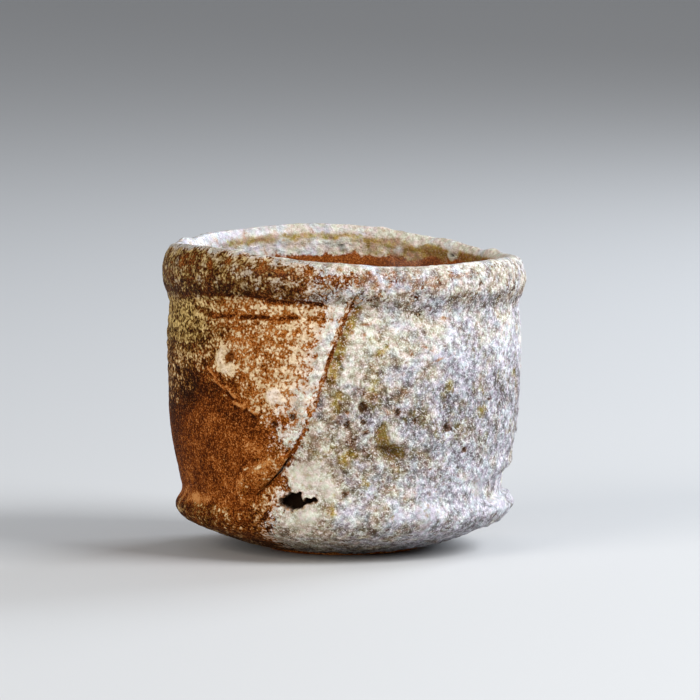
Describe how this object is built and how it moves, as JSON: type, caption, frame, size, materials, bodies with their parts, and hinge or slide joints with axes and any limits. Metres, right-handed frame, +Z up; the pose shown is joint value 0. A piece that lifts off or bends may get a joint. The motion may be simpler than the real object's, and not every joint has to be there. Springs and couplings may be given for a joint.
{
  "type": "sake cup",
  "caption": "Hand-built stoneware sake cup with a leaning lapped seam, an uneven rolled rim collar, a flanged base and a low foot ring, for holding a small drink.",
  "frame": {"origin": "on the table, under the middle of the cup's bounding box", "axes": "+Z up, -Y towards the pictured front, +X to the right of the picture"},
  "size_m": [0.0639, 0.0643, 0.0546],
  "materials": {
    "ash_crusted_clay": "rough crust of melted wood ash over fired clay",
    "rim_ash_clay": "speckled satin ash over fired clay",
    "fire_flashed_clay": "matt fire-flashed clay",
    "inner_clay": "satin fired clay",
    "bare_clay": "matt bare clay"
  },
  "bodies": {
    "root": {"wall_slab": "ash_crusted_clay", "rim_collar": "rim_ash_clay", "base_slab": "fire_flashed_clay", "floor_coil": "inner_clay", "foot_ring": "bare_clay"}
  },
  "joints": []
}
